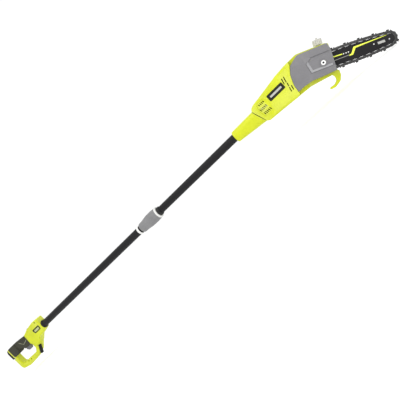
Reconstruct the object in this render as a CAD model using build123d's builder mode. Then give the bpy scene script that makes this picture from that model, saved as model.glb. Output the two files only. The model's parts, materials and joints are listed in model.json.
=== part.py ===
"""Telescoping pole saw, millimetres.

Row frame: the origin is where the pole axis meets the flat butt of the handle,
+X runs along the pole from the butt to the saw head, +Z is up (the trigger, the
hand opening and the limb hook are below the pole), and the chain cover is on the -Y side.
"""
from build123d import *
import math
import os

os.makedirs("parts", exist_ok=True)

# ---------------------------------------------------------------- driving dimensions
# handle
HOUSING_HALF = 20.0       # half width of the battery housing above the hand opening
GRIP_HALF = 15.5          # half width of the grip and the lower bar
BODY_HALF = 20.5          # half width of the front body round the pole
WALL = 3.2                # shell wall
SKIN = 1.6                # soft grip over the shell
SEAM = 0.05               # gap between two half shells
FLANGE_X = 303.0          # front face of the handle

# pole
LOWER_R = 15.3            # outer tube
LOWER_BORE = 14.55
UPPER_R = 14.25           # inner tube
UPPER_BORE = 13.25
LOWER_START = 216.0
LOWER_END = 1135.0
COLLAR_START = 1042.0
COLLAR_END = 1144.0
COLLET_END = 1155.0
UPPER_START = 985.0
UPPER_END = 1636.0

# saw head
NECK_X = 1552.0           # rear face of the neck sleeve
HEAD_HALF = 36.0          # half width of the motor housing
PAD_Y = -16.0             # housing face that the chain cover and the bar pad stand on
COVER_Y = -38.0           # outer face of the chain cover
SPROCKET_X = 1853.0       # sprocket axis crosses the pole axis here
BAR_Y = -24.0             # middle plane of the guide bar and the chain
BAR_ANGLE = 26.0          # the bar points this far below the pole axis
BOLT_S = 54.5             # cover bolt, along the bar axis from the sprocket
OIL_CAP_R = 14.0

# chain and bar
PITCH = 9.525             # distance from rivet to rivet
RIVETS = 62
END_R = PITCH / (2 * math.sin(math.radians(180 / 12)))   # rivet circle of a six-tooth sprocket
BELLY = 25.5              # rivet line from the bar axis at the middle of the bar
RAIL_DROP = 4.5           # rail below the rivet line
PLY = 1.3                 # one layer of the bar
TANG = 7.6                # drive tang below the rivet line

# bevel drive
PINION_TEETH = 10
GEAR_TEETH = 34
MODULE = 1.2
FACE = 6.0                # tooth length along the cone


# ---------------------------------------------------------------- helpers
def finish(piece, label):
    """Label one sub-part and write it."""
    piece.part.label = label
    export_step(piece.part, f"parts/{label}.step")


def outline(points):
    """Closed line through (a, b, radius) corners."""
    return FilletPolyline(*[(a, b) for a, b, _ in points], radius=[r for _, _, r in points], close=True)


def slab(points, low, high, edge, inset=0.0):
    """Plate with an XZ outline between two Y planes, its rim rounded, as a part of its own."""
    with BuildPart(mode=Mode.PRIVATE) as plate:
        with BuildSketch(Plane.XZ.offset(-(high - inset))):
            with BuildLine():
                outline(points)
            make_face()
            if inset:
                offset(amount=-inset, kind=Kind.INTERSECTION)
        extrude(amount=(high - low) - 2 * inset)
        if edge:
            fillet(plate.faces().filter_by(Axis.Y).edges(), radius=edge)
    return plate.part


def prism(points, low, high):
    """Plain plate with an XZ outline between two Y planes."""
    return slab(points, low, high, 0.0)


def rod(x0, x1, r, bore=0.0):
    """Round bar or tube on the X axis."""
    with BuildPart(Plane.YZ.offset(x0), mode=Mode.PRIVATE) as bar:
        Cylinder(r, x1 - x0, align=(Align.CENTER, Align.CENTER, Align.MIN))
        if bore:
            Cylinder(bore, x1 - x0, align=(Align.CENTER, Align.CENTER, Align.MIN), mode=Mode.SUBTRACT)
    return bar.part


# ---------------------------------------------------------------- handle solids
HANDLE = [
    (0, -88, 18), (58, -99, 60), (125, -95, 60), (174, -80, 10), (243, -29, 40), (286, -25, 2),
    (FLANGE_X, -27, 3), (FLANGE_X, 41, 6), (268, 44, 12), (215, 38, 60), (165, 27, 40), (130, 27, 60),
    (95, 31, 80), (30, 32, 14), (14, 30, 4), (14, -23, 1), (0, -24, 4),
]
HAND_OPENING = [
    (26, -21, 6), (64, -21, 9), (78, -4, 10), (100, -9, 20), (114, -24, 5), (166, -26, 6),
    (166, -54, 14), (146, -69, 14), (26, -69, 12),
]
PACK_HOUSING = [(14, -21, 4), (64, -21, 9), (76, -4, 6), (76, 32, 8), (30, 32, 14), (14, 30, 4)]
BODY = [
    (172, 26, 12), (215, 38, 60), (268, 44, 12), (FLANGE_X, 41, 6), (FLANGE_X, -27, 3), (286, -25, 2),
    (243, -29, 40), (206, -54, 30), (178, -50, 8),
]
GRIP_ZONE = [(24, 60, 0.5), (24, -15, 0.5), (40, -28, 0.5), (163, -28, 0.5), (173, 60, 0.5)]
LABEL = [(242, -5, 5), (288, -5, 5), (293, 16, 5), (237, 16, 5)]
LUG_HOLE = (285.0, 34.0)
LUG_R = 4.5
LUG_WALL = 3.0            # tube of material round the hanging hole, from shell to shell
LOCK_X = 203.0
LOCK_R = 6.0
LOCK_TRAVEL = 3.5
TRIGGER_PIN = (152.0, -14.0)
TRIGGER_HALF = 7.0
TRIGGER_TRAVEL = 12.0     # degrees
PACK_HALF = 16.2
PACK_LOW, PACK_HIGH = -12.0, 20.0
PACK_END = 66.0
PACK_WALL = 1.5
CELL_START = 13.5
CELL_R = 7.05
CELL_L = 49.8
SLOT_GAP = 0.3
STEP = 0.6                # the battery housing and the front body stand this far proud of the grip
CONE_START, CONE_START_R = 236.0, 36.0    # the front body narrows to a round socket in front
CONE_END_R = 20.8


def socket_trim(inset):
    """What lies outside the round socket at the front of the handle, below the pole axis."""
    with BuildPart(mode=Mode.PRIVATE) as trim:
        with Locations(((CONE_START + FLANGE_X + 2) / 2, 0, -25)):
            Box(FLANGE_X + 2 - CONE_START, 80, 50)
        with BuildSketch(Plane.XZ):
            with BuildLine():
                Polyline((CONE_START - 1, 0), (CONE_START - 1, CONE_START_R - inset),
                         (CONE_START, CONE_START_R - inset), (FLANGE_X + 3, CONE_END_R - inset),
                         (FLANGE_X + 3, 0), close=True)
            make_face()
        revolve(axis=Axis.X, mode=Mode.SUBTRACT)
    return trim.part


def handle_solid(inset, core_edge, side_edge):
    """Outer form of the handle, or the same form drawn in by the inset."""
    with BuildPart(mode=Mode.PRIVATE) as solid:
        with BuildSketch(Plane.XZ.offset(-(GRIP_HALF - inset))):
            with BuildLine():
                outline(HANDLE)
            make_face()
            offset(amount=-inset - STEP, kind=Kind.INTERSECTION)
            with BuildSketch(mode=Mode.SUBTRACT):
                with BuildLine():
                    outline(HAND_OPENING)
                make_face()
                offset(amount=inset + STEP, kind=Kind.INTERSECTION)
        extrude(amount=2 * (GRIP_HALF - inset))
        fillet(solid.faces().filter_by(Axis.Y).edges(), radius=core_edge)
        add(slab(PACK_HOUSING, -HOUSING_HALF, HOUSING_HALF, side_edge, inset))
        add(slab(BODY, -BODY_HALF, BODY_HALF, side_edge, inset))
        add(socket_trim(inset), mode=Mode.SUBTRACT)
    return solid.part


def y_hole(x, z, r, low=-60.0, high=60.0):
    """Round bar on a Y axis."""
    with BuildPart(Plane.XZ.offset(-high), mode=Mode.PRIVATE) as bar:
        with Locations((x, z)):
            Cylinder(r, high - low, align=(Align.CENTER, Align.CENTER, Align.MIN))
    return bar.part


def side_hole(x, z, r, side, low, high):
    """The same bar, its two ends given as distances towards one side."""
    return y_hole(x, z, r, min(side * low, side * high), max(side * low, side * high))


def screw(x, z, side, face, tip):
    """Pan head screw sunk below a face, its cross slot on the outside."""
    top = face - HEAD_DEPTH
    with BuildPart(mode=Mode.PRIVATE) as body:
        add(side_hole(x, z, SCREW_HEAD_R, side, top - HEAD_L, top))
        add(side_hole(x, z, SCREW_R - 0.05, side, tip, top - HEAD_L))
        with Locations(Plane(origin=(x, side * top, z), x_dir=(1, 0, 0), z_dir=(0, side, 0))):
            Box(4.4, 0.9, 1.8, mode=Mode.SUBTRACT)
            Box(0.9, 4.4, 1.8, mode=Mode.SUBTRACT)
    return body.part


handle_outer = handle_solid(0.0, 4.0, 5.0)
handle_skin = handle_solid(SKIN, 2.6, 3.6)
handle_inner = handle_solid(SKIN + WALL, 0.5, 1.5)
grip_zone = prism(GRIP_ZONE, -40, 40)
trigger_slot = prism([(103, -40, 1), (163, -40, 1), (163, -3, 1), (103, -3, 1)],
                     -TRIGGER_HALF - 0.6, TRIGGER_HALF + 0.6)
pack_bay = prism([(-2, PACK_LOW - SLOT_GAP, 1), (PACK_END + 1, PACK_LOW - SLOT_GAP, 1),
                  (PACK_END + 1, PACK_HIGH + SLOT_GAP, 1), (-2, PACK_HIGH + SLOT_GAP, 1)],
                 -PACK_HALF - SLOT_GAP, PACK_HALF + SLOT_GAP)

# ---------------------------------------------------------------- handle shells and grip
# x, z, half width of the shells there, and the side that the head is on
HANDLE_SCREWS = [(13, -60, GRIP_HALF, 1), (69, -77, GRIP_HALF, -1), (92, -78, GRIP_HALF, -1),
                 (150, -79, GRIP_HALF, 1), (186, -40, BODY_HALF, 1), (186, 18, BODY_HALF, 1),
                 (246, 25, BODY_HALF, 1)]
SCREW_HEAD_R = 3.4
SCREW_R = 1.6
BOSS_R = 5.0
HEAD_DEPTH = 3.5          # screw head below the shell's surface
HEAD_L = 2.0
RIB_X = [(222, 228), (262, 268)]
BUSHING_R = 18.0
WRENCH_TOP = (200.0, -56.0)
WRENCH_Y = -13.0
WRENCH_LEAN = 39.0        # degrees from vertical
WRENCH_R = 7.0
WRENCH_L = 42.0
WRENCH_TRAVEL = 30.0
WRENCH_ROOM = 9.2         # radius of the channel it slides in
PLUG_L = 4.0
PIN_R = 1.5

with BuildPart() as grip_overmould:
    add(handle_outer)
    add(grip_zone, mode=Mode.INTERSECT)
    add(handle_skin, mode=Mode.SUBTRACT)
    add(trigger_slot, mode=Mode.SUBTRACT)
    add(pack_bay, mode=Mode.SUBTRACT)

with BuildPart() as grip_core:
    add(handle_skin)
    add(grip_zone, mode=Mode.INTERSECT)

wrench_frame = Plane(origin=(WRENCH_TOP[0], WRENCH_Y, WRENCH_TOP[1]), x_dir=(0, 1, 0),
                     z_dir=(-math.sin(math.radians(WRENCH_LEAN)), 0, -math.cos(math.radians(WRENCH_LEAN))))

with BuildPart() as wrench_boss:
    with BuildSketch(wrench_frame.offset(-9)):
        Circle(WRENCH_ROOM + 2.5)
    extrude(amount=55)
    add(handle_outer, mode=Mode.INTERSECT)

with BuildPart() as wrench_room:
    with BuildSketch(wrench_frame.offset(-PLUG_L - 0.3)):
        Circle(WRENCH_R - 1.5 + 0.3)
    extrude(amount=PLUG_L + 1)
    with BuildSketch(wrench_frame):
        Circle(WRENCH_ROOM)
    extrude(amount=WRENCH_L + WRENCH_TRAVEL)

with BuildPart() as handle_hollow:
    add(handle_outer)
    add(grip_zone, mode=Mode.SUBTRACT)
    add(grip_core.part)
    add(handle_inner, mode=Mode.SUBTRACT)
    for x0, x1 in RIB_X:
        with Locations(((x0 + x1) / 2, 0, 4)):
            Box(x1 - x0, 2 * BODY_HALF - 6, 56)
    with Locations((LOCK_X, 0, 14.5)):
        Box(15, 2 * BODY_HALF - 6, 3)
    for x, z, half, side in HANDLE_SCREWS:
        add(y_hole(x, z, BOSS_R, 2 - half, half - 2))
    add(y_hole(*LUG_HOLE, LUG_R + LUG_WALL, SKIN + WALL - 1 - BODY_HALF, BODY_HALF - SKIN - WALL + 1))
    add(wrench_boss.part)
    add(rod(LOWER_START - 0.5, FLANGE_X + 1, LOWER_R), mode=Mode.SUBTRACT)
    add(rod(285, FLANGE_X + 1, BUSHING_R), mode=Mode.SUBTRACT)
    add(pack_bay, mode=Mode.SUBTRACT)
    add(trigger_slot, mode=Mode.SUBTRACT)
    for low, high in ((-GRIP_HALF + 4, -TRIGGER_HALF - 0.6), (TRIGGER_HALF + 0.6, GRIP_HALF - 4)):
        add(y_hole(*TRIGGER_PIN, 4.0, low, high))
    add(y_hole(*TRIGGER_PIN, PIN_R, -TRIGGER_HALF - 4, TRIGGER_HALF + 4), mode=Mode.SUBTRACT)
    add(wrench_room.part, mode=Mode.SUBTRACT)
    for x, z, half, side in HANDLE_SCREWS:
        add(side_hole(x, z, SCREW_R, side, 5 - half, half), mode=Mode.SUBTRACT)
        add(side_hole(x, z, SCREW_HEAD_R + 0.3, side, half - HEAD_DEPTH - HEAD_L - 0.2, half + 1),
            mode=Mode.SUBTRACT)
    add(y_hole(*LUG_HOLE, LUG_R), mode=Mode.SUBTRACT)
    add(prism(LABEL, -BODY_HALF - 1, 0.7 - BODY_HALF), mode=Mode.SUBTRACT)
    with Locations((LOCK_X, 0, 32)):
        Cylinder(LOCK_R + 0.3, 30, mode=Mode.SUBTRACT)

with BuildPart() as handle_shell_right:
    add(handle_hollow.part)
    split(bisect_by=Plane.XZ.offset(SEAM / 2), keep=Keep.TOP)
finish(handle_shell_right, "handle_shell_right")

with BuildPart() as handle_shell_left:
    add(handle_hollow.part)
    split(bisect_by=Plane.XZ.offset(-SEAM / 2), keep=Keep.BOTTOM)
finish(handle_shell_left, "handle_shell_left")
finish(grip_overmould, "grip_overmould")

# ---------------------------------------------------------------- handle fittings
with BuildPart() as handle_label:
    with BuildSketch(Plane.XZ.offset(BODY_HALF - 0.7)):
        with BuildLine():
            outline(LABEL)
        make_face()
        offset(amount=-0.2, kind=Kind.INTERSECTION)
    extrude(amount=1.1)
    fillet(handle_label.faces().sort_by(Axis.Y)[0].edges(), radius=0.35)
finish(handle_label, "handle_label")

with BuildPart() as handle_screws:
    for x, z, half, side in HANDLE_SCREWS:
        add(screw(x, z, side, half, 6 - half))
finish(handle_screws, "handle_screws")

# trigger: a lever on a cross pin, its finger face hollowed
TRIGGER = [(112, -14.5, 1.5), (108.5, -24, 2), (109, -33, 4), (120, -42, 7), (133, -42, 6),
           (147, -28, 5), (157, -20, 3), (157, -9, 4), (146, -9, 3), (141, -14.5, 2)]
with BuildPart() as trigger:
    with BuildSketch(Plane.XZ.offset(-TRIGGER_HALF)):
        with BuildLine():
            outline(TRIGGER)
        make_face()
    extrude(amount=2 * TRIGGER_HALF)
    fillet(trigger.faces().filter_by(Axis.Y).edges(), radius=1.2)
    with Locations((128, 0, -14.5)):
        Cylinder(3.6, 6, mode=Mode.SUBTRACT)
    add(y_hole(*TRIGGER_PIN, PIN_R + 0.05), mode=Mode.SUBTRACT)
finish(trigger, "trigger")

with BuildPart() as trigger_pin:
    add(y_hole(*TRIGGER_PIN, PIN_R, -TRIGGER_HALF - 3.3, TRIGGER_HALF + 3.3))
finish(trigger_pin, "trigger_pin")


def coil(radius, wire, z0, z1, turns):
    """Compression spring on a Z axis, its middle line between two heights."""
    with BuildPart(mode=Mode.PRIVATE) as spring:
        with BuildLine(Plane.XY.offset(z0 + wire)):
            helix = Helix(pitch=(z1 - z0 - 2 * wire) / turns, height=z1 - z0 - 2 * wire, radius=radius)
        with BuildSketch(Plane(origin=helix @ 0, z_dir=helix % 0)):
            Circle(wire)
        sweep(is_frenet=True)
    return spring.part


SPRING_FLOOR, SPRING_TOP = -17.5, 0.0
with BuildPart() as trigger_spring:
    add(Pos(128, 0, 0) * coil(2.6, 0.4, SPRING_FLOOR, SPRING_TOP, 6))
finish(trigger_spring, "trigger_spring")

with BuildPart() as trigger_switch:
    with Locations((129, 0, 10)):
        Box(30, 20, 20)
    fillet(trigger_switch.edges().filter_by(Axis.Z), radius=2)
    with Locations((116, 0, -0.6)):
        Cylinder(2.4, 1.2)
    for y in (-5, 5):
        with Locations((145.5, y, 12)):
            Box(3, 4.8, 0.8)
finish(trigger_switch, "trigger_switch")

LOCK_SPRING = (16.3, 24.8)
with BuildPart() as lock_off_button:
    with Locations((LOCK_X, 0, 32.5)):
        Cylinder(LOCK_R, 15)
    fillet(lock_off_button.faces().sort_by(Axis.Z)[-1].edges(), radius=1.6)
    with Locations((LOCK_X, 0, 26)):
        Cylinder(LOCK_R + 1.6, 2)
    for shift in (-3, 0, 3):
        with Locations((LOCK_X + shift, 0, 40)):
            Box(0.9, 8, 1.0, mode=Mode.SUBTRACT)
finish(lock_off_button, "lock_off_button")

with BuildPart() as lock_off_spring:
    add(Pos(LOCK_X, 0, 0) * coil(3.2, 0.4, *LOCK_SPRING, 5))
finish(lock_off_spring, "lock_off_spring")

# ---------------------------------------------------------------- battery pack
CAP_HALF = 18.5
CAP = [(0, -22.7, 3), (13.6, -22.7, 1), (13.6, 28.5, 1), (9, 28.5, 3), (0, 16, 6)]
BLADE_Y = (-8, 0, 8)

with BuildPart() as battery_case:
    add(slab(CAP, -CAP_HALF, CAP_HALF, 2.5))
    with Locations(((PACK_END + 13) / 2, 0, (PACK_LOW + PACK_HIGH) / 2)):
        Box(PACK_END - 13, 2 * PACK_HALF, PACK_HIGH - PACK_LOW)
    with Locations(((CELL_START + PACK_END - PACK_WALL) / 2, 0, (PACK_LOW + PACK_HIGH) / 2)):
        Box(PACK_END - PACK_WALL - CELL_START, 2 * (PACK_HALF - PACK_WALL),
            PACK_HIGH - PACK_LOW - 2 * PACK_WALL, mode=Mode.SUBTRACT)
    with Locations(*[(PACK_END, y, 11) for y in BLADE_Y]):
        Box(6, 2.4, 10, mode=Mode.SUBTRACT)
    for side in (-1, 1):
        with Locations((8, side * CAP_HALF, 1)):
            Box(7.6, 9, 14.6, mode=Mode.SUBTRACT)
finish(battery_case, "battery_case")

with BuildPart() as battery_cells:
    for y in (-CELL_R - 0.15, CELL_R + 0.15):
        for z in (4 - CELL_R - 0.2, 4 + CELL_R + 0.2):
            with Locations(Plane(origin=(CELL_START + 1, y, z), z_dir=(1, 0, 0))):
                Cylinder(CELL_R, CELL_L - 1.2, align=(Align.CENTER, Align.CENTER, Align.MIN))
                Cylinder(3.2, CELL_L, align=(Align.CENTER, Align.CENTER, Align.MIN))
finish(battery_cells, "battery_cells")

for side, label in ((-1, "battery_latch_right"), (1, "battery_latch_left")):
    with BuildPart() as battery_latch:
        with Locations((8, side * (CAP_HALF - 0.6), 1)):
            Box(7, 4.2, 14)
        fillet(battery_latch.edges().filter_by(Axis.Y), radius=1.4)
        for z in (-3, 1, 5):
            with Locations((8, side * (CAP_HALF + 1.5), z)):
                Box(5, 0.8, 1.2, mode=Mode.SUBTRACT)
    finish(battery_latch, label)

with BuildPart() as terminal_block:
    with Locations((76.5, 0, 11)):
        Box(5, 21, 18)
    for y in BLADE_Y:
        with Locations((69.5, y, 11)):
            Box(10, 0.9, 7)
finish(terminal_block, "terminal_block")

# ---------------------------------------------------------------- adjusting wrench
with BuildPart() as wrench:
    with BuildSketch(wrench_frame):
        RegularPolygon(WRENCH_R, 6)
    extrude(amount=WRENCH_L, taper=-2)
    with BuildSketch(wrench_frame.offset(WRENCH_L - 9)):
        RegularPolygon(4.5, 6)
    extrude(amount=10, mode=Mode.SUBTRACT)
    with BuildSketch(wrench_frame.offset(-PLUG_L)):
        Circle(WRENCH_R - 1.5)
    extrude(amount=PLUG_L + 1)
finish(wrench, "wrench")

# ---------------------------------------------------------------- pole
with BuildPart() as lower_tube:
    add(rod(LOWER_START, LOWER_END, LOWER_R, LOWER_BORE))
finish(lower_tube, "lower_tube")

with BuildPart() as upper_tube:
    add(rod(UPPER_START, UPPER_END, UPPER_R, UPPER_BORE))
finish(upper_tube, "upper_tube")

with BuildPart() as socket_bushing:
    with BuildSketch(Plane.XZ):
        with BuildLine():
            Polyline((286, LOWER_R), (286, BUSHING_R - 0.02), (FLANGE_X, BUSHING_R - 0.02),
                     (FLANGE_X, BUSHING_R + 1.2), (FLANGE_X + 3, BUSHING_R + 1.2),
                     (FLANGE_X + 6, BUSHING_R - 1), (FLANGE_X + 6, LOWER_R), close=True)
        make_face()
    revolve(axis=Axis.X)
finish(socket_bushing, "socket_bushing")

with BuildPart() as stop_ring:
    add(rod(1023, 1032, LOWER_R + 1.9, LOWER_R))
    fillet(stop_ring.edges().filter_by(GeomType.CIRCLE).sort_by(SortBy.RADIUS)[-2:], radius=0.8)
finish(stop_ring, "stop_ring")

COLLET_R = 17.7
with BuildPart() as collet_bushing:
    with BuildSketch(Plane.XZ):
        with BuildLine():
            Polyline((1062, LOWER_R), (1062, COLLET_R), (COLLET_END - 3, COLLET_R),
                     (COLLET_END, COLLET_R - 1.6), (COLLET_END, UPPER_R + 0.3),
                     (LOWER_END, UPPER_R + 0.3), (LOWER_END, LOWER_R), close=True)
        make_face()
    revolve(axis=Axis.X)
    for turn in (0, 90):
        with Locations(Plane(origin=(COLLET_END - 2, 0, 0), x_dir=(0, 1, 0), z_dir=(1, 0, 0))):
            with Locations(Rotation(0, 0, turn)):
                Box(50, 1.6, 22, mode=Mode.SUBTRACT)
finish(collet_bushing, "collet_bushing")

COLLAR = [(COLLAR_START, 15.75), (COLLAR_START, 19.6), (1046, 20.4), (1060, 21.0), (1086, 24.6),
          (1116, 25.0), (1122, 24.4), (1138, 23.6), (1138, 18.1), (1058, 18.1), (1058, 15.75)]
RIBS = 28
with BuildPart() as twist_collar:
    with BuildSketch(Plane.XZ):
        with BuildLine():
            Polyline(*COLLAR, close=True)
        make_face()
    revolve(axis=Axis.X)
    with Locations(Plane(origin=(1094, 0, 0), x_dir=(0, 1, 0), z_dir=(1, 0, 0))):
        with PolarLocations(25.6, RIBS):
            Cylinder(1.3, 48, mode=Mode.SUBTRACT)
finish(twist_collar, "twist_collar")

with BuildPart() as collar_ring:
    with BuildSketch(Plane.XZ):
        with BuildLine():
            Polyline((1138, 18.3), (1138, 23.9), (1141, 23.9), (COLLAR_END, 22.4), (COLLAR_END, 18.3),
                     close=True)
        make_face()
    revolve(axis=Axis.X)
finish(collar_ring, "collar_ring")

# ---------------------------------------------------------------- neck sleeve and motor housing
SEAM_TOP, SEAM_LOW = (1649.0, 21.5), (1667.0, -33.0)     # slanted joint between sleeve and housing
NECK_END = 1672.0
# x, z, width, height and corner radius of the sleeve's two ends
NECK_SECTIONS = [(NECK_X, -0.5, 40, 41, 18), (NECK_END, -6.3, 43, 55.6, 17)]
HOUSING = [
    (1651, 22, 1), (1657, 29, 6), (1668, 33.5, 20), (1715, 40, 80), (1775, 49, 60), (1815, 52, 60),
    (1860, 52, 12), (1906, 31, 30), (1938, 16, 3), (1946, 8, 3), (1915, -75, 4), (1864, -60, 40),
    (1832, -51, 40),
    (1710, -41.5, 80), (1678, -39.5, 12), (1669.5, -34, 1),
]
COVER = [
    (1797, -36, 2), (1800, -12, 40), (1812, 18, 30), (1829, 38, 10), (1862, 47, 16), (1912, 25, 40),
    (1943, 11, 3), (1941, -8, 8), (1916, -67, 2), (1872, -51, 40), (1848, -41, 30), (1820, -36.5, 30),
]
TAPER = [(1645, -21, 1), (1662, -24, 8), (1700, -HEAD_HALF, 60), (1960, -HEAD_HALF, 1), (1960, HEAD_HALF, 1),
         (1700, HEAD_HALF, 60), (1662, 24, 8), (1645, 21, 1)]
HEAD_WALL = 3.0
HEAD_LABEL = [(1718, 1.5, 3), (1779, 1.5, 3), (1779, 24, 3), (1718, 24, 3)]
VENT_ROWS = [(15, 23, (1683, 1689, 1695, 1701)), (-1, 9, (1676, 1682, 1688, 1694, 1700)),
             (-17, -7, (1680, 1686, 1692, 1698, 1704))]
FRONT_SLOTS = [(1784, 20, 20), (1792, 20, 20), (1789, 3, 12), (1785, -13, 16), (1793, -13, 16)]
VENT_WIDTH = 3.0
VENT_PANEL = [(1675, -21, 2), (1707, -21, 2), (1717, 10, 4), (1706, 27, 2), (1678, 27, 2), (1670, 8, 4)]
# x, z, and the half widths of the housing there on the cover side and on the far side
HOUSING_SCREWS = [(1682, -27, 30, 30), (1770, -36, HEAD_HALF, HEAD_HALF), (1756, 34, HEAD_HALF, HEAD_HALF),
                  (1712, 29, HEAD_HALF, HEAD_HALF), (1797, 36, HEAD_HALF, HEAD_HALF),
                  (1880, -57, -PAD_Y, HEAD_HALF)]
MOUNT_RIBS = (1716.0, 1746.0)     # ribs that hold the motor can
CAN_R = 22.0
SPINDLE_R = 5.0
HOOK_SLOT = (1905.0, -3.0)        # X and Y of the limb hook's tongue
CAP_TILT = 25.0
CAP_BASE = (1924.0, 24.3)
cap_dir = (math.sin(math.radians(CAP_TILT)), 0, math.cos(math.radians(CAP_TILT)))
cap_plane = Plane(origin=(CAP_BASE[0], 8, CAP_BASE[1]), x_dir=(0, 1, 0), z_dir=cap_dir)
BEAM = math.radians(BAR_ANGLE)


def bar_point(s, n):
    """Row X and Z of a point s along the bar axis from the sprocket and n above that axis."""
    return (SPROCKET_X + s * math.cos(BEAM) + n * math.sin(BEAM), -s * math.sin(BEAM) + n * math.cos(BEAM))


BOLT_X, BOLT_Z = bar_point(BOLT_S, 0)
BOLT_R = 3.95
BOLT_BORE = 4.0


def bar_plane(s, n, y=BAR_Y):
    """Plane on the bar with its x axis towards the nose, its y axis up and its normal to -Y."""
    x, z = bar_point(s, n)
    return Plane(origin=(x, y, z), x_dir=(math.cos(BEAM), 0, -math.sin(BEAM)), z_dir=(0, -1, 0))


def head_solid(inset, edge):
    """Motor housing form, narrowed at the neck and cut back to the pad face in front."""
    front = [(1781, -120, 1), (1796.5, -37, 2), (1799.5, -12, 40), (1811.5, 18, 30), (1828.5, 40, 10),
             (1838, 90, 1), (2000, 90, 1), (2000, -120, 1)]
    with BuildPart(mode=Mode.PRIVATE) as solid:
        add(slab(HOUSING, -HEAD_HALF, HEAD_HALF, edge, inset))
        with BuildSketch(Plane.XY.offset(-100)):
            with BuildLine():
                outline(TAPER)
            make_face()
            if inset:
                offset(amount=-inset, kind=Kind.INTERSECTION)
        extrude(amount=200, mode=Mode.INTERSECT)
        with BuildSketch(Plane.XZ.offset(-PAD_Y - inset)):
            with BuildLine():
                outline(front)
            make_face()
            if inset:
                offset(amount=inset, kind=Kind.INTERSECTION)
        extrude(amount=80, mode=Mode.SUBTRACT)
    return solid.part


with BuildPart() as neck_sleeve:
    for x, z, width, height, corner in NECK_SECTIONS:
        with BuildSketch(Plane(origin=(x, 0, z), x_dir=(0, 1, 0), z_dir=(1, 0, 0))):
            RectangleRounded(width, height, corner)
    loft()
    fillet(neck_sleeve.faces().sort_by(Axis.X)[0].edges(), radius=2.5)
    add(prism([(SEAM_TOP[0] - 8.5, 42.8, 0.5), (SEAM_LOW[0] + 6.7, -53.8, 0.5), (NECK_END + 20, -54, 0.5),
               (NECK_END + 20, 43, 0.5)], -40, 40), mode=Mode.SUBTRACT)
    add(rod(NECK_X - 2, UPPER_END, UPPER_R), mode=Mode.SUBTRACT)
    add(rod(UPPER_END, NECK_END, UPPER_BORE - 2), mode=Mode.SUBTRACT)
finish(neck_sleeve, "neck_sleeve")

head_outer = head_solid(0.0, 9.0)
head_skin = head_solid(1.0, 8.0)
head_inner = head_solid(HEAD_WALL, 6.0)

# shallow panels round the vents, level with the skin surface inside them
with BuildPart() as vent_panels:
    add(prism(VENT_PANEL, -HEAD_HALF - 1, HEAD_HALF + 1))
    add(head_skin, mode=Mode.SUBTRACT)

with BuildPart() as head_ribs:
    with Locations((1806, 0, 0)):
        Box(4, 2 * HEAD_HALF, 120)
    with Locations((1885, 8, 33)):
        Box(3, 60, 36)
    for x in MOUNT_RIBS:
        with Locations((x, 0, 0)):
            Box(3, 2 * HEAD_HALF, 110)
    for x, z, near, far in HOUSING_SCREWS:
        add(y_hole(x, z, BOSS_R, 2 - near, far - 2))
    add(head_skin, mode=Mode.INTERSECT)
    add(rod(1700, 1803, CAN_R), mode=Mode.SUBTRACT)
    add(rod(1800, 1812, 4.0), mode=Mode.SUBTRACT)

with BuildPart() as head_hollow:
    add(head_outer)
    add(head_inner, mode=Mode.SUBTRACT)
    add(head_ribs.part)
    with BuildSketch(bar_plane(BOLT_S, 0, PAD_Y + 2)):
        SlotOverall(62, 18)
    extrude(amount=PAD_Y + 2 - BAR_Y - 1.5 * PLY - 0.05)
    add(y_hole(BOLT_X, BOLT_Z, BOLT_BORE, -40, -5), mode=Mode.SUBTRACT)
    add(y_hole(SPROCKET_X, 0, SPINDLE_R + 0.5, -40, -5), mode=Mode.SUBTRACT)
    with Locations((HOOK_SLOT[0], HOOK_SLOT[1], -70)):
        Box(12.2, 10.2, 16, mode=Mode.SUBTRACT)
    with BuildSketch(cap_plane.offset(-14)):
        Circle(8.6)
    extrude(amount=16, mode=Mode.SUBTRACT)
    add(vent_panels.part, mode=Mode.SUBTRACT)
    for x, z, near, far in HOUSING_SCREWS:
        add(y_hole(x, z, SCREW_R, 6 - near, far), mode=Mode.SUBTRACT)
        add(y_hole(x, z, SCREW_HEAD_R + 0.3, far - HEAD_DEPTH - HEAD_L - 0.2, far + 1), mode=Mode.SUBTRACT)
    for low, high, columns in VENT_ROWS:
        for x in columns:
            with BuildSketch(Plane.XZ):
                with Locations((x, (low + high) / 2)):
                    SlotOverall(high - low, VENT_WIDTH, rotation=106)
            extrude(amount=60, both=True, mode=Mode.SUBTRACT)
    for x, z, length in FRONT_SLOTS:
        with BuildSketch(Plane.XZ):
            with Locations((x, z)):
                SlotOverall(length, VENT_WIDTH, rotation=76)
        extrude(amount=60, both=True, mode=Mode.SUBTRACT)
    add(prism(HEAD_LABEL, -HEAD_HALF - 1, 0.7 - HEAD_HALF), mode=Mode.SUBTRACT)

with BuildPart() as motor_housing_right:
    add(head_hollow.part)
    split(bisect_by=Plane.XZ.offset(SEAM / 2), keep=Keep.TOP)
finish(motor_housing_right, "motor_housing_right")

with BuildPart() as motor_housing_left:
    add(head_hollow.part)
    split(bisect_by=Plane.XZ.offset(-SEAM / 2), keep=Keep.BOTTOM)
finish(motor_housing_left, "motor_housing_left")

with BuildPart() as head_label:
    with BuildSketch(Plane.XZ.offset(HEAD_HALF - 0.7)):
        with BuildLine():
            outline(HEAD_LABEL)
        make_face()
        offset(amount=-0.2, kind=Kind.INTERSECTION)
    extrude(amount=1.1)
    fillet(head_label.faces().sort_by(Axis.Y)[0].edges(), radius=0.35)
finish(head_label, "head_label")

with BuildPart() as head_screws:
    for x, z, near, far in HOUSING_SCREWS:
        add(screw(x, z, 1, far, 7 - near))
finish(head_screws, "head_screws")

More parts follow.
